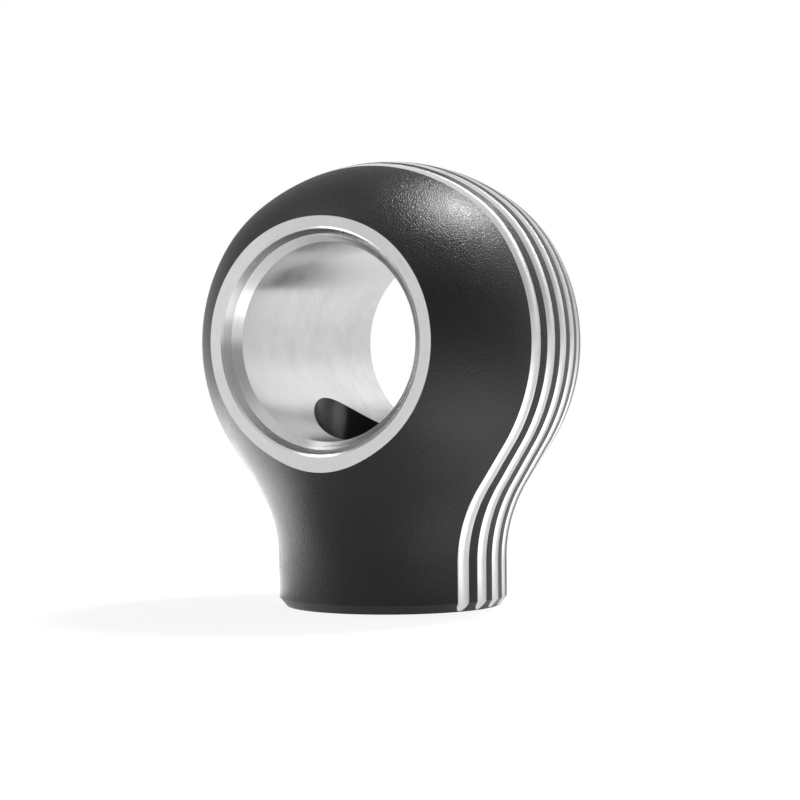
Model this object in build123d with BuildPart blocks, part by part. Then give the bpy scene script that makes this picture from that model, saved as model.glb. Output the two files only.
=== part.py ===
"""Gear shift knob: a turned ball head on a short neck, with two milled faces, a stepped cross bore and five ball-end grooves."""

import os
from math import asin, atan2, cos, degrees, radians, sin, sqrt

from build123d import *

# The knob stands on its neck, with the middle of the base at the origin, +Z up and the cross bore along Y.
# Head and neck, turned about Z. The crown's radius is larger than the head's by its widening,
# and its top lies below a full ball by its flattening.
head_radius = 28.5
head_height = 39.5
crown_widening = 2.5
crown_flattening = 1.3
shoulder_radius = 22.4
side_angle = 31.9
neck_radius = 17.2
neck_blend = 21.6
base_chamfer_width = 1.1
base_chamfer_height = 1.35

# Milled faces, front and back, each at this distance from the Z axis.
face_distance = 21.9

# Cross bore, and its mouth at each face: from the bore outwards a cone, a steeper wall and a lip,
# each given by how much it widens the bore and how much depth it takes.
bore_radius = 14.4
cone_width = 1.15
cone_depth = 1.25
wall_width = 0.65
wall_depth = 1.15
lip_width = 0.3
lip_depth = 0.25

# Grooves over the head, cut with a ball end.
groove_count = 5
groove_pitch = 3.62
groove_radius = 1.03
groove_depth = 1.0

# Socket for the lever, from the base up into the cross bore.
socket_radius = 11.75
socket_chamfer = 0.5

# How far a cutter runs past what it cuts.
overrun = 3.0


def section(y, lift=0.0):
    """The outline's sizes where the plane at y cuts the turned form, moved outward by lift."""
    head = sqrt(head_radius**2 - y**2) + lift
    crown = sqrt((head_radius + crown_widening) ** 2 - y**2) + lift
    shoulder = sqrt(shoulder_radius**2 - y**2) + lift
    neck = sqrt(neck_radius**2 - y**2) + lift
    blend = neck_blend * sqrt(1 - (y / neck_radius) ** 2) - lift
    lean = asin(head_radius * sin(radians(side_angle)) / head)
    drop = crown_widening + crown_flattening

    # The shoulder arc touches the crown and the head from inside.
    from_crown = crown - shoulder
    from_head = head - shoulder
    centre_z = (from_crown**2 - from_head**2 - drop**2) / (2 * drop)
    centre_x = sqrt(from_head**2 - centre_z**2)
    crown_end = atan2(centre_x, centre_z + drop)
    head_start = atan2(centre_x, centre_z)

    # The straight side runs from the head to the neck's blend, along the tangent of both.
    side_x = head * cos(lean)
    side_length = (side_x + blend * cos(lean) - neck - blend) / sin(lean)
    neck_top = head_height - head * sin(lean) - side_length * cos(lean) - blend * sin(lean)
    top = head_height - drop + crown
    return top, crown, crown_end, shoulder, head_start, head, lean, side_length, blend, neck, neck_top


with BuildPart() as knob_body:
    top, crown, crown_end, shoulder, head_start, head, lean, side_length, blend, neck, neck_top = section(0)
    with BuildSketch(Plane.XZ):
        with BuildLine():
            crown_arc = JernArc((0, top), (1, 0), crown, -degrees(crown_end))
            shoulder_arc = JernArc(crown_arc @ 1, crown_arc % 1, shoulder, -degrees(head_start - crown_end))
            head_arc = JernArc(shoulder_arc @ 1, shoulder_arc % 1, head, -degrees(radians(90) + lean - head_start))
            side = Line(head_arc @ 1, head_arc @ 1 + side_length * (head_arc % 1))
            blend_arc = JernArc(side @ 1, side % 1, blend, degrees(lean))
            Polyline(
                blend_arc @ 1,
                (neck, base_chamfer_height),
                (neck - base_chamfer_width, 0),
                (0, 0),
                (0, top),
            )
        make_face()
    revolve(axis=Axis.Z)

    # Milled faces.
    split(bisect_by=Plane((0, -face_distance, 0), z_dir=(0, -1, 0)), keep=Keep.BOTTOM)
    split(bisect_by=Plane((0, face_distance, 0), z_dir=(0, 1, 0)), keep=Keep.BOTTOM)

    # Socket, with a small chamfer at its mouth.
    with BuildSketch():
        Circle(socket_radius)
    extrude(amount=head_height, mode=Mode.SUBTRACT)
    chamfer(
        knob_body.edges().filter_by(GeomType.CIRCLE).group_by(Axis.Z)[0].sort_by(SortBy.RADIUS)[0],
        socket_chamfer,
    )

    # Cross bore with both stepped mouths, turned about its own axis. One half is drawn and mirrored.
    with BuildSketch(Plane.YZ):
        with BuildLine():
            radius, depth = bore_radius, lip_depth + wall_depth + cone_depth
            mouth = [(0, head_height + radius), (face_distance - depth, head_height + radius)]
            for width, step in ((cone_width, cone_depth), (wall_width, wall_depth), (lip_width, lip_depth)):
                radius += width
                depth -= step
                mouth.append((face_distance - depth, head_height + radius))
            Polyline(
                *mouth,
                (face_distance + overrun, head_height + radius),
                (face_distance + overrun, head_height),
                (0, head_height),
                close=True,
            )
        make_face()
        mirror(about=Plane.YZ)
    revolve(axis=Axis((0, 0, head_height), (0, 1, 0)), mode=Mode.SUBTRACT)

    # Grooves: a round cutter follows the outline's section over the head, from base to base, on one smooth
    # curve through points of the section. Points of one half are taken and mirrored for the other.
    for index in range(groove_count):
        y = (index - (groove_count - 1) / 2) * groove_pitch
        top, crown, crown_end, shoulder, head_start, head, lean, side_length, blend, neck, neck_top = section(
            y, groove_radius - groove_depth
        )
        head_sweep = degrees(radians(90) + lean - head_start)
        with BuildLine(Plane.XZ.offset(-y)) as path:
            rise = Line((neck, -overrun), (neck, neck_top), mode=Mode.PRIVATE)
            blend_up = JernArc(rise @ 1, rise % 1, blend, -degrees(lean), mode=Mode.PRIVATE)
            side_up = Line(blend_up @ 1, blend_up @ 1 + side_length * (blend_up % 1), mode=Mode.PRIVATE)
            head_up = JernArc(side_up @ 1, side_up % 1, head, head_sweep, mode=Mode.PRIVATE)
            shoulder_up = JernArc(head_up @ 1, head_up % 1, shoulder, degrees(head_start - crown_end), mode=Mode.PRIVATE)
            over = JernArc(shoulder_up @ 1, shoulder_up % 1, crown, degrees(crown_end), mode=Mode.PRIVATE)
            half = [rise @ 0, rise @ 0.5]
            half += [blend_up @ (step / 3) for step in range(4)]
            half += [side_up @ 0.5]
            half += [head_up @ (step / 6) for step in range(7)]
            half += [shoulder_up @ 0.5, over @ 0, over @ 0.5]
            back = [Vector(-point.X, point.Y, point.Z) for point in reversed(half)]
            Spline(*half, over @ 1, *back)
        with BuildSketch(Plane(path.line @ 0, z_dir=path.line % 0)):
            Circle(groove_radius)
        sweep(path=path.line, mode=Mode.SUBTRACT)

knob_body.part.label = "knob_body"

os.makedirs("parts", exist_ok=True)
export_step(knob_body.part, "parts/knob_body.step")
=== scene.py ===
from math import asin, atan2, ceil, cos, pi, radians, sin, sqrt

import bmesh
import bpy
import numpy as np
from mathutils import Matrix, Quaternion, Vector


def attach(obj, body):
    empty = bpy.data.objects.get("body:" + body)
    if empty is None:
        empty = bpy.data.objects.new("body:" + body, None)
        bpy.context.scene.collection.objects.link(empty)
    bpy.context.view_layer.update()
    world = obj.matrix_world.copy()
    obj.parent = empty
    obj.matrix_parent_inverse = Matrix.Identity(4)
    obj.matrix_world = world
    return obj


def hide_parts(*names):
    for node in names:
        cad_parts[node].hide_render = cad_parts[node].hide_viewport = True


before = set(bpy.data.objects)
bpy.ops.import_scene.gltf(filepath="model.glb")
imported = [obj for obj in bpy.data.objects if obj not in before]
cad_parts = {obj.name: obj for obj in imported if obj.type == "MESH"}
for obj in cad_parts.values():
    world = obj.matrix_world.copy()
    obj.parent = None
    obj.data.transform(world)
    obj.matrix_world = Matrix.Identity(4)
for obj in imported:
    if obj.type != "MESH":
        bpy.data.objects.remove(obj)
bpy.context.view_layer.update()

mm = 0.001

# The knob's turned form, the same sizes as the part has.
knob = {
    "headRadius": 28.5 * mm,
    "headHeight": 39.5 * mm,
    "crownWidening": 2.5 * mm,
    "crownFlattening": 1.3 * mm,
    "shoulderRadius": 22.4 * mm,
    "sideAngle": radians(31.9),
    "neckRadius": 17.2 * mm,
    "neckBlend": 21.6 * mm,
    "footWidth": 1.1 * mm,
    "footHeight": 1.35 * mm,
    "faceDistance": 21.9 * mm,
    "meshStep": 0.6 * mm,       # along the outline
    "meshSegments": 288,        # around the axis
    "neckRows": 14,
    "footRows": 3,
    "baseRows": 4,
}

# The cross bore and its mouth: widths and depths from the bore outwards.
bore = {
    "radius": 14.4 * mm,
    "cone": (1.15 * mm, 1.25 * mm),
    "wall": (0.65 * mm, 1.15 * mm),
    "lip": (0.3 * mm, 0.25 * mm),
    "meshSegments": 288,
    "meshRows": 12,             # from the middle to one mouth
    "coneRows": 2,
}

# The grooves over the head, cut with a ball end.
grooves = {
    "count": 5,
    "pitch": 3.62 * mm,
    "radius": 1.03 * mm,
    "depth": 1.0 * mm,
    "meshStep": 0.5 * mm,
    "meshSegments": 44,
    "neckRows": 16,
}

# The socket for the lever, from the base up into the bore.
socket = {
    "radius": 11.75 * mm,
    "chamfer": 0.5 * mm,
    "meshSegments": 192,
    "meshRows": 40,
}

overrun = 3 * mm                # how far a cutter runs past what it cuts
samePoint = 1e-7                # metres within which two drawn points are one

# How near points are joined and how short an edge is dissolved, in metres: as drawn, and after the cuts.
joining = {"drawn": (samePoint, 1e-8), "cut": (2e-6, 1e-6)}

finishNames = ["coat", "faceMetal", "mouthMetal", "boreMetal", "grooveMetal", "socketFinish"]


def outline(y=0.0, lift=0.0, step=knob["meshStep"]):
    # Half the outline where the plane at y cuts the turned form: x, z and the angle of the normal
    # from straight up. The lift moves it outward.
    head = sqrt(knob["headRadius"] ** 2 - y**2) + lift
    crown = sqrt((knob["headRadius"] + knob["crownWidening"]) ** 2 - y**2) + lift
    shoulder = sqrt(knob["shoulderRadius"] ** 2 - y**2) + lift
    neck = sqrt(knob["neckRadius"] ** 2 - y**2) + lift
    blend = knob["neckBlend"] * sqrt(1 - (y / knob["neckRadius"]) ** 2) - lift
    lean = asin(knob["headRadius"] * sin(knob["sideAngle"]) / head)
    drop = knob["crownWidening"] + knob["crownFlattening"]

    fromCrown, fromHead = crown - shoulder, head - shoulder
    centreZ = (fromCrown**2 - fromHead**2 - drop**2) / (2 * drop)
    centreX = sqrt(fromHead**2 - centreZ**2)
    crownEnd = atan2(centreX, centreZ + drop)
    headStart = atan2(centreX, centreZ)
    sideLength = (head * cos(lean) + blend * cos(lean) - neck - blend) / sin(lean)
    neckTop = knob["headHeight"] - head * sin(lean) - sideLength * cos(lean) - blend * sin(lean)

    rows = []

    def arc(x, z, radius, start, end):
        count = max(3, ceil(abs((end - start) * radius) / step) + 1)
        for angle in np.linspace(start, end, count):
            rows.append((x + radius * sin(angle), z + radius * cos(angle), angle))

    def straight(x, z, angle):
        x0, z0 = rows[-1][:2]
        count = max(2, ceil(sqrt((x - x0) ** 2 + (z - z0) ** 2) / step))
        for k in range(1, count):
            rows.append((x0 + (x - x0) * k / count, z0 + (z - z0) * k / count, angle))

    arc(0, knob["headHeight"] - drop, crown, 0, crownEnd)
    arc(centreX, knob["headHeight"] + centreZ, shoulder, crownEnd, headStart)
    arc(0, knob["headHeight"], head, headStart, pi / 2 + lean)
    sideEnd = (rows[-1][0] - sideLength * sin(lean), rows[-1][1] - sideLength * cos(lean))
    straight(*sideEnd, pi / 2 + lean)
    arc(neck + blend, neckTop, -blend, pi / 2 + lean, pi / 2)
    return np.array(rows), neck


def cleanRows(rows):
    # Drops a row that repeats the one before it.
    keep = [True] + [bool(np.hypot(*(b - a)[:2]) > samePoint) for a, b in zip(rows, rows[1:])]
    return rows[keep]


def turnedPatch(rows, segments, aboutBore=False):
    # One strip of surface turned about Z, or about the bore's axis. A row is radius, height and the
    # normal's angle.
    turn = np.linspace(0, 2 * pi, segments + 1)
    radius, height, angle = (rows[:, k, None] for k in range(3))
    ones = np.ones_like(turn)
    points = [radius * np.cos(turn), radius * np.sin(turn), height * ones]
    normals = [np.sin(angle) * np.cos(turn), np.sin(angle) * np.sin(turn), np.cos(angle) * ones]
    if aboutBore:
        points = [points[0], points[2], points[1] + knob["headHeight"]]
        normals = [normals[0], normals[2], normals[1]]
    return np.stack(points, -1), np.stack(normals, -1)


def stretch(start, end, count=1):
    # A straight stretch of outline, drawn with its outer side on the left. Its normal is square to it.
    angle = atan2(start[1] - end[1], end[0] - start[0])
    start, way = np.array(start), np.array(end) - start
    return np.array([(*(start + way * k / count), angle) for k in range(count + 1)])


def joinClosePoints(mesh, reach, sliver):
    # Joins the strips' edges and drops the slivers that cuts leave.
    work = bmesh.new()
    work.from_mesh(mesh)
    bmesh.ops.remove_doubles(work, verts=work.verts, dist=reach)
    bmesh.ops.dissolve_degenerate(work, edges=work.edges, dist=sliver)
    work.to_mesh(mesh)
    work.free()


def shell(name, patches, cutter=False):
    # A closed mesh from grids of points. Each corner keeps the true normal of the surface it lies on.
    vertices, faces, finishes, corners = [], [], [], []
    for points, normals, finish in patches:
        base = len(vertices)
        rows, columns = points.shape[:2]
        vertices.extend(points.reshape(-1, 3).tolist())
        across = np.cross(points[1:, :-1] - points[:-1, :-1], points[:-1, 1:] - points[:-1, :-1])
        flip = (across * normals[:-1, :-1]).sum() < 0
        flat = normals.reshape(-1, 3) * (-1 if cutter else 1)
        for i in range(rows - 1):
            for j in range(columns - 1):
                a = i * columns + j
                quad = [a, a + columns, a + columns + 1, a + 1]
                if flip:
                    quad.reverse()
                faces.append([base + k for k in quad])
                finishes.append(finishNames.index(finish))
                corners.extend(flat[quad])
    mesh = bpy.data.meshes.new(name)
    mesh.from_pydata(vertices, [], faces)
    mesh.attributes.new("trueNormal", "FLOAT_VECTOR", "CORNER")
    mesh.attributes["trueNormal"].data.foreach_set("vector", np.array(corners).ravel())
    mesh.polygons.foreach_set("material_index", finishes)
    for finish in finishNames:
        mesh.materials.append(finishMaterials[finish])
    joinClosePoints(mesh, *joining["drawn"])
    piece = bpy.data.objects.new(name, mesh)
    bpy.context.collection.objects.link(piece)
    return piece


def tubePatch(rows, y):
    # A groove's cutter: a round tube along the outline's section, from base to base over the head.
    turn = np.linspace(0, 2 * pi, grooves["meshSegments"] + 1)
    x, z, angle = (rows[:, k, None] for k in range(3))
    out, side = np.cos(turn), np.sin(turn)
    normals = [np.sin(angle) * out, side + 0 * angle, np.cos(angle) * out]
    points = [middle + grooves["radius"] * normal for middle, normal in zip((x, y, z), normals)]
    return np.stack(points, -1), np.stack(normals, -1)


def tubeEnd(row, y):
    # The flat end of a groove's cutter, below the base.
    turn = np.linspace(0, 2 * pi, grooves["meshSegments"] + 1)
    x, z, angle = row
    radius = grooves["radius"]
    ring = [x + radius * sin(angle) * np.cos(turn), y + radius * np.sin(turn), z + 0 * turn]
    points = np.stack([np.stack(ring, -1), np.tile((x, y, z), (len(turn), 1))])
    return points, np.tile((0.0, 0.0, -1.0), (2, len(turn), 1))


def blankShell():
    # The turned form: head and neck, the foot's chamfer and the base.
    rows, neck = outline()
    side = stretch((neck, rows[-1][1]), (neck, knob["footHeight"]), knob["neckRows"])
    rows = cleanRows(np.vstack([rows, side]))
    foot = neck - knob["footWidth"]
    chamfer = stretch((neck, knob["footHeight"]), (foot, 0), knob["footRows"])
    base = stretch((foot, 0), (0, 0), knob["baseRows"])
    around = knob["meshSegments"]
    return shell("knobBlank", [(*turnedPatch(strip, around), "coat") for strip in (rows, chamfer, base)])


def faceCutter():
    # Two blocks, one beyond each milled face.
    reach, top = 60 * mm, 90 * mm
    patches = []
    for side in (-1, 1):
        near, far = side * knob["faceDistance"], side * reach
        corners = {(u, v, w): (u * reach, (near, far)[v], -reach if w < 0 else top)
                   for u in (-1, 1) for v in (0, 1) for w in (-1, 1)}
        for axis, value in ((0, -1), (0, 1), (1, 0), (1, 1), (2, -1), (2, 1)):
            ends = [(-1, 1), (0, 1), (-1, 1)]
            ends[axis] = (value,)
            grid = [corners[u, v, w] for u in ends[0] for v in ends[1] for w in ends[2]]
            normal = np.zeros(3)
            normal[axis] = side * (1 if value else -1) if axis == 1 else value
            patches.append((np.array(grid).reshape(2, 2, 3), np.tile(normal, (2, 2, 1)), "faceMetal"))
    return shell("faceCutter", patches, cutter=True)


def boreCutter():
    # From the middle of the bore out to one mouth, then the other.
    radius, face = bore["radius"], knob["faceDistance"]
    depth = bore["lip"][1] + bore["wall"][1] + bore["cone"][1]
    half = [((0, radius), (face - depth, radius), "boreMetal", bore["meshRows"])]
    for part in ("cone", "wall", "lip"):
        start = (face - depth, radius)
        radius += bore[part][0]
        depth -= bore[part][1]
        half.append((start, (face - depth, radius), "mouthMetal", bore["coneRows"]))
    end = face + overrun
    half.append(((face, radius), (end, radius), "mouthMetal", 1))
    half.append(((end, radius), (end, 0), "mouthMetal", 1))
    patches = []
    for side in (-1, 1):
        for start, stop, finish, count in half:
            run = np.linspace(start, stop, count + 1)
            along, out = stop[0] - start[0], stop[1] - start[1]
            angle = atan2(along, -side * out) if along or out else 0
            strip = np.stack([run[:, 1], side * run[:, 0], np.full(count + 1, angle)], -1)
            patches.append((*turnedPatch(strip, bore["meshSegments"], aboutBore=True), finish))
    return shell("boreCutter", patches, cutter=True)


def socketCutter():
    # A round bar with the chamfer of the socket's mouth.
    radius, wide = socket["radius"], socket["radius"] + socket["chamfer"]
    top = knob["headHeight"]
    strips = [
        stretch((0, top), (radius, top)),
        stretch((radius, top), (radius, socket["chamfer"]), socket["meshRows"]),
        stretch((radius, socket["chamfer"]), (wide + overrun, -overrun)),
        stretch((wide + overrun, -overrun), (0, -overrun)),
    ]
    patches = [(*turnedPatch(strip, socket["meshSegments"]), "socketFinish") for strip in strips]
    return shell("socketCutter", patches, cutter=True)


def grooveCutter():
    # Five tubes, each from below the base up one side, over the head and down the other.
    patches = []
    for index in range(grooves["count"]):
        y = (index - (grooves["count"] - 1) / 2) * grooves["pitch"]
        rows, neck = outline(y, grooves["radius"] - grooves["depth"], grooves["meshStep"])
        down = stretch((neck, rows[-1][1]), (neck, -overrun), grooves["neckRows"])
        rows = cleanRows(np.vstack([rows, down]))
        whole = np.vstack([rows[:0:-1] * (-1, 1, -1), rows])
        patches.append((*tubePatch(whole, y), "grooveMetal"))
        patches.append((*tubeEnd(whole[0], y), "grooveMetal"))
        patches.append((*tubeEnd(whole[-1], y), "grooveMetal"))
    return shell("grooveCutter", patches, cutter=True)


def cutKnob():
    # The blank, with the faces, socket, bore and grooves cut out of it, in the order of the work.
    piece = blankShell()
    print("blank turned,", len(piece.data.polygons), "faces")
    cutters = [faceCutter(), socketCutter(), boreCutter(), grooveCutter()]
    for cutter in cutters:
        cut = piece.modifiers.new(cutter.name, "BOOLEAN")
        cut.operation = "DIFFERENCE"
        cut.solver = "EXACT"
        cut.material_mode = "INDEX"
        cut.object = cutter
    evaluated = piece.evaluated_get(bpy.context.evaluated_depsgraph_get())
    mesh = bpy.data.meshes.new_from_object(evaluated)
    mesh.name = "knobSurface"
    piece.modifiers.clear()
    joinClosePoints(mesh, *joining["cut"])
    piece.data = mesh
    for cutter in cutters:
        bpy.data.objects.remove(cutter)
    normals = np.empty(len(mesh.loops) * 3)
    mesh.attributes["trueNormal"].data.foreach_get("vector", normals)
    normals = normals.reshape(-1, 3)
    normals /= np.maximum(np.linalg.norm(normals, axis=1), 1e-9)[:, None]     # never divides by zero
    mesh.polygons.foreach_set("use_smooth", [True] * len(mesh.polygons))
    mesh.normals_split_custom_set(normals.tolist())
    mesh.attributes.remove(mesh.attributes["trueNormal"])
    piece.name = "knob"
    triangles = sum(len(polygon.vertices) - 2 for polygon in mesh.polygons)
    print("knob cut,", len(mesh.polygons), "faces,", triangles, "triangles")
    return piece


finishMaterials = {name: bpy.data.materials.new(name) for name in finishNames}

# The black coat: a fine pebble, glossier on the tops of the grains.
coat = {
    "colour": 0.006,
    "specular": 0.28,
    "roughness": (0.25, 0.35),
    "grainScale": 7500,         # grains per metre
    "grainDepth": 0.009 * mm,
    "grainSpan": (0.3, 0.7),    # the part of the noise that is used
    # The grain's colour is painted shade and light: darker in its hollows, lighter on its tops.
    "grainPaintedShade": (0.8, 1.3),   # colour in the hollows and on the tops
    "pebbleScale": 4400,
    "pebbleDepth": 0.03 * mm,
    "pebbleSoftness": 0.3,
    "pebbleReach": 0.5,         # squared distance at which a pebble ends
    "cloudScale": 160,
    "cloudShare": 0.4,          # of the gloss, the rest follows the grain
    "glossSpan": (0.35, 0.65),
    "socketColour": 0.018,
    "socketDepth": 0.12,        # how deep the grain is there, against outside
}

# The bare aluminium, by the way each surface was cut. Marks are counted per metre across them and
# lengthwise, where an angle is in radians. The shine is stretched, and turned by a share of a full turn
# from the way around the bore.
metal = {
    "faceMetal": {"colour": 0.615, "mottle": 0.04, "roughness": 0.3, "stretch": 0.3, "turned": 0.25,
                  "marks": 8000, "lengthwise": 4, "depth": 0.0005 * mm, "clouding": 0.3},
    "mouthMetal": {"colour": 0.62, "mottle": 0.06, "roughness": 0.26, "stretch": 0.5, "turned": 0.25,
                   "marks": 4200, "lengthwise": 0.15, "depth": 0.0005 * mm, "clouding": 0.04},
    "boreMetal": {"colour": 0.59, "mottle": 0.11, "roughness": 0.2, "stretch": 0.3, "turned": 0.25,
                  "marks": 2600, "lengthwise": 300, "depth": 0.0009 * mm, "clouding": 0.6},
    "grooveMetal": {"colour": 0.74, "mottle": 0.06, "roughness": 0.36, "stretch": 0.4, "turned": 0.0,
                    "marks": 5000, "lengthwise": 160, "depth": 0.0008 * mm, "clouding": 0.5},
}

# What all the bare surfaces share. A noise has a scale, detail, roughness and distortion.
marks = {
    "stroke": (1, 3, 0.6),
    "cloud": (260, 4, 0.55, 0.4),
    "span": (0.3, 0.7),         # the part of the noise that is used
    "roughness": (0.8, 1.25),   # against the surface's own
    "boreSlant": 0.55,          # how far the bore's strokes lean
    "grooveTurn": 0.03,         # how much the angle breaks up a groove's lines
}

rangeNames = ("From Min", "From Max", "To Min", "To Max")       # the limits of a Map Range node


class Nodes:
    # Short calls for one material's nodes.
    def __init__(self, material):
        material.use_nodes = True
        self.nodes, self.links = material.node_tree.nodes, material.node_tree.links
        self.shader = self.nodes["Principled BSDF"]
        self.place = self.nodes.new("ShaderNodeTexCoord").outputs["Object"]

    def fill(self, socket, value):
        if isinstance(value, bpy.types.NodeSocket):
            self.links.new(value, socket)
        elif value is not None:
            socket.default_value = value

    def math(self, operation, first, second=None, third=None):
        node = self.nodes.new("ShaderNodeMath")
        node.operation = operation
        for socket, value in zip(node.inputs, (first, second, third)):
            self.fill(socket, value)
        return node.outputs[0]

    def split(self, vector):
        node = self.nodes.new("ShaderNodeSeparateXYZ")
        self.fill(node.inputs[0], vector)
        return node.outputs

    def join(self, x, y, z):
        node = self.nodes.new("ShaderNodeCombineXYZ")
        for socket, value in zip(node.inputs, (x, y, z)):
            self.fill(socket, value)
        return node.outputs[0]

    def strokes(self, look, across, along):
        # A vector in which a noise makes long strokes.
        across = self.math("MULTIPLY", across, look["marks"])
        along = self.math("MULTIPLY", along, look["lengthwise"])
        return self.join(across, along, 0.0)

    def noise(self, vector, scale=1.0, detail=2.0, roughness=0.5, distortion=0.0):
        node = self.nodes.new("ShaderNodeTexNoise")
        self.fill(node.inputs["Vector"], vector)
        names = ("Scale", "Detail", "Roughness", "Distortion")
        for name, value in zip(names, (scale, detail, roughness, distortion)):
            node.inputs[name].default_value = value
        return node.outputs["Fac"]

    def spread(self, value, low, high, toLow, toHigh):
        node = self.nodes.new("ShaderNodeMapRange")
        self.fill(node.inputs["Value"], value)
        for name, given in zip(rangeNames, (low, high, toLow, toHigh)):
            self.fill(node.inputs[name], given)
        return node.outputs["Result"]

    def blend(self, first, second, share):
        # The share is the second one's.
        return self.math("ADD", self.math("MULTIPLY", first, 1 - share), self.math("MULTIPLY", second, share))

    def grey(self, value):
        node = self.nodes.new("ShaderNodeCombineColor")
        for socket in node.inputs:
            self.fill(socket, value)
        return node.outputs[0]

    def bump(self, height, depth, under=None):
        node = self.nodes.new("ShaderNodeBump")
        node.inputs["Strength"].default_value = 1
        node.inputs["Distance"].default_value = depth
        self.fill(node.inputs["Height"], height)
        self.fill(node.inputs["Normal"], under)
        return node.outputs["Normal"]


def coatFinish(name, colour, depth=1.0):
    # Round pebbles with a finer grain over them, and soft clouding in the gloss.
    tree = Nodes(finishMaterials[name])
    grain = tree.noise(tree.place, coat["grainScale"])
    cells = tree.nodes.new("ShaderNodeTexVoronoi")
    cells.feature = "SMOOTH_F1"
    cells.inputs["Scale"].default_value = coat["pebbleScale"]
    cells.inputs["Smoothness"].default_value = coat["pebbleSoftness"]
    tree.fill(cells.inputs["Vector"], tree.place)
    away = cells.outputs["Distance"]
    pebble = tree.spread(tree.math("MULTIPLY", away, away), 0, coat["pebbleReach"], 1, 0)
    cloud = tree.noise(tree.place, coat["cloudScale"], 3)
    first = tree.bump(pebble, coat["pebbleDepth"] * depth)
    tree.fill(tree.shader.inputs["Normal"], tree.bump(grain, coat["grainDepth"] * depth, first))
    gloss = tree.blend(grain, cloud, coat["cloudShare"])
    smooth, dull = coat["roughness"]
    tree.fill(tree.shader.inputs["Roughness"], tree.spread(gloss, *coat["glossSpan"], dull, smooth))
    # Painted shade and light: the grain that lifts the surface also darkens its hollows and lightens its
    # tops.
    hollow, crest = coat["grainPaintedShade"]
    shade = tree.spread(grain, *coat["grainSpan"], colour * hollow, colour * crest)
    tree.fill(tree.shader.inputs["Base Color"], tree.grey(shade))
    tree.shader.inputs["Specular IOR Level"].default_value = coat["specular"]


def metalFinish(name, lines):
    # Bare metal with the marks of its cut: lines gives a vector in which the marks are long.
    look = metal[name]
    tree = Nodes(finishMaterials[name])
    x, y, z = tree.split(tree.place)
    up = tree.math("SUBTRACT", z, knob["headHeight"])
    radius = tree.math("SQRT", tree.math("ADD", tree.math("MULTIPLY", x, x), tree.math("MULTIPLY", up, up)))
    turn = tree.math("ARCTAN2", up, x)
    stroke = tree.noise(lines(tree, look, radius, turn, y), *marks["stroke"])
    cloud = tree.noise(tree.place, *marks["cloud"])
    tree.fill(tree.shader.inputs["Normal"], tree.bump(stroke, look["depth"]))
    both = tree.blend(stroke, cloud, look["clouding"])
    smooth, dull = (look["roughness"] * factor for factor in marks["roughness"])
    tree.fill(tree.shader.inputs["Roughness"], tree.spread(both, *marks["span"], smooth, dull))
    dark, pale = look["colour"] * (1 - look["mottle"]), look["colour"] * (1 + look["mottle"])
    tree.fill(tree.shader.inputs["Base Color"], tree.grey(tree.spread(both, *marks["span"], dark, pale)))
    tree.shader.inputs["Metallic"].default_value = 1
    # The shine spreads across the lathe's marks, and along a groove, whose cutter leaves small cross marks.
    tree.fill(tree.shader.inputs["Tangent"], tree.join(up, 0.0, tree.math("MULTIPLY", x, -1)))
    tree.shader.inputs["Anisotropic"].default_value = look["stretch"]
    tree.shader.inputs["Anisotropic Rotation"].default_value = look["turned"]


def turnedLines(tree, look, radius, turn, y):
    # Rings around the bore, from the lathe.
    around = tree.math("ABSOLUTE", turn)
    across = tree.math("ADD", radius, tree.math("ABSOLUTE", y))
    return tree.strokes(look, across, around)


def honedLines(tree, look, radius, turn, y):
    # Slanting strokes in the bore, from polishing with a turning brush.
    arc = tree.math("MULTIPLY", turn, bore["radius"])
    along = tree.math("ADD", arc, tree.math("MULTIPLY", y, marks["boreSlant"]))
    across = tree.math("SUBTRACT", y, tree.math("MULTIPLY", arc, marks["boreSlant"]))
    return tree.strokes(look, across, along)


def milledLines(tree, look, radius, turn, y):
    # Lines along each groove.
    around = tree.math("MULTIPLY", turn, look["lengthwise"] * marks["grooveTurn"])
    across = tree.math("MULTIPLY", y, look["marks"])
    return tree.join(across, around, tree.math("MULTIPLY", radius, look["lengthwise"]))


coatFinish("coat", coat["colour"])
coatFinish("socketFinish", coat["socketColour"], coat["socketDepth"])
metalFinish("faceMetal", turnedLines)
metalFinish("mouthMetal", turnedLines)
metalFinish("boreMetal", honedLines)
metalFinish("grooveMetal", milledLines)
print("finishes made")

knobPiece = cutKnob()
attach(knobPiece, "root")
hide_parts("knob_body")

# The photograph's view: a long lens, a little below the middle of the head.
view = {
    "place": (169.64 * mm, -309.95 * mm, 35.58 * mm),
    "aim": (1.14 * mm, 0.49 * mm, 30.81 * mm),
    "roll": radians(-0.457),
    "lens": 105.16,
    "sensor": 36,
    "nearClip": 0.01,
}

# The floor, in metres. The knob's shadow fades out between the two distances of its reach.
floorPlan = {"size": 6.0, "grey": 0.85, "paleness": 0.86, "shadowReach": (0.05, 0.3)}

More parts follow.
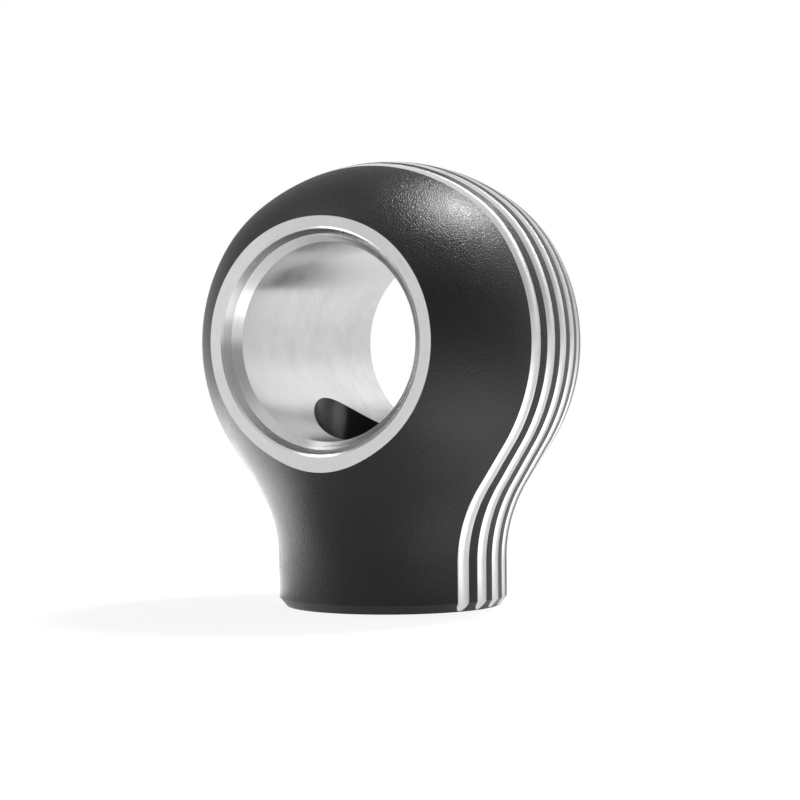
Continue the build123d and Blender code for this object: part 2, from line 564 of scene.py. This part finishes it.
light = {
    "worldSeen": 1.0,
    "worldLit": 0.5,
    # Each lamp: direction around from the front and height, in degrees, distance and size in metres,
    # brightness against white.
    "lamps": {
        "overheadSoftbox": (154, 61, 1.0, 0.19, 132.0),
        "rightSoftbox": (133, 48, 1.0, 0.4, 4.6),
        "leftSoftbox": (-62, 8, 0.6, 0.4, 2.0),
        "topLeftSoftbox": (-66, 56, 1.0, 0.34, 4.6),
    },
    # Glowing rounds on the floor: place, size, brightness against white.
    "panels": {
        "leftPanel": ((-0.12, 0.02, 0.0005), 0.2, 2.4),
        "rightPanel": ((0.075, -0.03, 0.0005), 0.09, 1.5),
    },
    # A painted shadow: a dim grey glow on the floor behind the knob stands in for the knob's shadow there, as
    # the bore mirrors it.
    "backShadow": {"corners": ((-0.07, 0.028), (0.012, 0.08)), "height": 0.001, "grey": 0.15},
    # How bright reflections find the room in front of the knob and behind it, and where it changes over.
    "front": 0.8,
    "back": 1.0,
    "roomSpan": (-1, 0.8),
    # Zones of the room: the way to the middle, the cosines between which it fades in, and its brightness.
    "zones": {
        "paleBack": ((0.27, 0.886, 0.377), (0.94, 0.99), 1.26),
        "dimSide": ((0.92, -0.39, 0.0), (0.4, 0.92), 0.5),
        "darkCeiling": ((-0.542, 0.542, 0.643), (0.66, 0.92), 0.38),
    },
}


def makeCamera():
    data = bpy.data.cameras.new("photoCamera")
    camera = bpy.data.objects.new("photoCamera", data)
    bpy.context.collection.objects.link(camera)
    place, aim = Vector(view["place"]), Vector(view["aim"])
    camera.location = place
    camera.rotation_mode = "QUATERNION"
    camera.rotation_quaternion = (aim - place).to_track_quat("-Z", "Y") @ Quaternion((0, 0, 1), view["roll"])
    data.lens = view["lens"]
    data.sensor_width = view["sensor"]
    data.clip_start = view["nearClip"]
    bpy.context.scene.camera = camera


def flatSheet(name, corners, height, materialName):
    # A level rectangle for the studio, with a material that has no nodes yet.
    (x0, y0), (x1, y1) = corners
    mesh = bpy.data.meshes.new(name)
    points = [(x0, y0, height), (x1, y0, height), (x1, y1, height), (x0, y1, height)]
    mesh.from_pydata(points, [], [(0, 1, 2, 3)])
    sheet = bpy.data.objects.new(name, mesh)
    bpy.context.collection.objects.link(sheet)
    material = bpy.data.materials.new(materialName)
    material.use_nodes = True
    material.node_tree.nodes.clear()
    mesh.materials.append(material)
    return sheet, material.node_tree.nodes, material.node_tree.links


def makeFloor():
    # White to the camera and to reflections, apart from the knob's shadow.
    half = floorPlan["size"] / 2
    floor, nodes, links = flatSheet("floor", ((-half, -half), (half, half)), 0, "paleFloor")
    path = nodes.new("ShaderNodeLightPath")
    seen = nodes.new("ShaderNodeMath")
    seen.operation = "MAXIMUM"
    links.new(path.outputs["Is Camera Ray"], seen.inputs[0])
    links.new(path.outputs["Is Glossy Ray"], seen.inputs[1])
    # The floor turns fully white away from the knob, so that only the knob's shadow stays.
    length = nodes.new("ShaderNodeVectorMath")
    length.operation = "LENGTH"
    links.new(nodes.new("ShaderNodeTexCoord").outputs["Object"], length.inputs[0])
    pale = nodes.new("ShaderNodeMapRange")
    pale.interpolation_type = "SMOOTHSTEP"
    links.new(length.outputs["Value"], pale.inputs["Value"])
    for name, value in zip(rangeNames, (*floorPlan["shadowReach"], floorPlan["paleness"], 1)):
        pale.inputs[name].default_value = value
    part = nodes.new("ShaderNodeMath")
    part.operation = "MULTIPLY"
    links.new(pale.outputs["Result"], part.inputs[1])
    links.new(seen.outputs[0], part.inputs[0])
    diffuse = nodes.new("ShaderNodeBsdfDiffuse")
    diffuse.inputs["Color"].default_value = (*[floorPlan["grey"]] * 3, 1)
    glow = nodes.new("ShaderNodeEmission")
    mix = nodes.new("ShaderNodeMixShader")
    output = nodes.new("ShaderNodeOutputMaterial")
    links.new(part.outputs[0], mix.inputs["Fac"])
    links.new(diffuse.outputs[0], mix.inputs[1])
    links.new(glow.outputs[0], mix.inputs[2])
    links.new(mix.outputs[0], output.inputs["Surface"])


def makeBackShadow():
    # A painted shadow: a dim grey glowing card on the floor behind the knob, which only reflections find.
    shadow = light["backShadow"]
    card, nodes, links = flatSheet("backShadow", shadow["corners"], shadow["height"], "paintedShadowCard")
    glow = nodes.new("ShaderNodeEmission")
    glow.inputs["Strength"].default_value = shadow["grey"]
    links.new(glow.outputs[0], nodes.new("ShaderNodeOutputMaterial").inputs["Surface"])
    card.visible_camera = False
    card.visible_diffuse = False
    card.visible_shadow = False


def makeWorld():
    world = bpy.data.worlds.new("paleStudio")
    bpy.context.scene.world = world
    world.use_nodes = True
    nodes, links = world.node_tree.nodes, world.node_tree.links
    nodes.clear()
    path = nodes.new("ShaderNodeLightPath")
    way = nodes.new("ShaderNodeTexCoord").outputs["Generated"]

    def maths(operation, first, second):
        node = nodes.new("ShaderNodeMath")
        node.operation = operation
        for socket, value in zip(node.inputs, (first, second)):
            if isinstance(value, bpy.types.NodeSocket):
                links.new(value, socket)
            else:
                socket.default_value = value
        return node.outputs[0]

    def ramp(direction, low, high, toLow, toHigh):
        dot = nodes.new("ShaderNodeVectorMath")
        dot.operation = "DOT_PRODUCT"
        links.new(way, dot.inputs[0])
        dot.inputs[1].default_value = direction
        node = nodes.new("ShaderNodeMapRange")
        node.interpolation_type = "SMOOTHSTEP"
        links.new(dot.outputs["Value"], node.inputs["Value"])
        for name, value in zip(rangeNames, (low, high, toLow, toHigh)):
            node.inputs[name].default_value = value
        return node.outputs["Result"]

    # The camera sees plain white. Reflections see a greyer room in front of the knob than behind it,
    # with the paler and darker zones.
    reflected = ramp((0, 1, 0), *light["roomSpan"], light["front"], light["back"])
    for middle, span, brightness in light["zones"].values():
        reflected = maths("MULTIPLY", reflected, ramp(middle, *span, 1, brightness))
    glossy = maths("MAXIMUM", path.outputs["Is Glossy Ray"], path.outputs["Is Transmission Ray"])
    seen = maths("MULTIPLY", path.outputs["Is Camera Ray"], light["worldSeen"])
    strength = maths("MAXIMUM", maths("MULTIPLY", glossy, reflected), seen)
    either = maths("MAXIMUM", glossy, path.outputs["Is Camera Ray"])
    diffusePart = maths("MULTIPLY", maths("SUBTRACT", 1.0, either), light["worldLit"])
    background = nodes.new("ShaderNodeBackground")
    background.inputs["Color"].default_value = (1, 1, 1, 1)
    links.new(maths("ADD", strength, diffusePart), background.inputs["Strength"])
    output = nodes.new("ShaderNodeOutputWorld")
    links.new(background.outputs[0], output.inputs["Surface"])


def makeLamp(name, place, aim, size, brightness):
    # A round lamp. The energy gives its disk the brightness, where 1 looks white.
    data = bpy.data.lights.new(name, "AREA")
    data.shape = "DISK"
    data.size = size
    data.energy = brightness * pi * pi * size**2 / 4
    lamp = bpy.data.objects.new(name, data)
    bpy.context.collection.objects.link(lamp)
    lamp.location = place
    lamp.rotation_mode = "QUATERNION"
    lamp.rotation_quaternion = (Vector(aim) - Vector(place)).to_track_quat("-Z", "Y")
    lamp.visible_camera = False


def makeLamps():
    head = Vector((0, 0, knob["headHeight"]))
    for name, (around, height, distance, size, brightness) in light["lamps"].items():
        around, height = radians(around), radians(height)
        way = Vector((sin(around) * cos(height), -cos(around) * cos(height), sin(height)))
        makeLamp(name, head + distance * way, head, size, brightness)
    for name, (place, size, brightness) in light["panels"].items():
        makeLamp(name, place, Vector(place) + Vector((0, 0, 1)), size, brightness)


makeFloor()
makeBackShadow()
makeWorld()
makeLamps()
makeCamera()
bpy.context.scene.view_settings.view_transform = "Standard"
print("studio set")
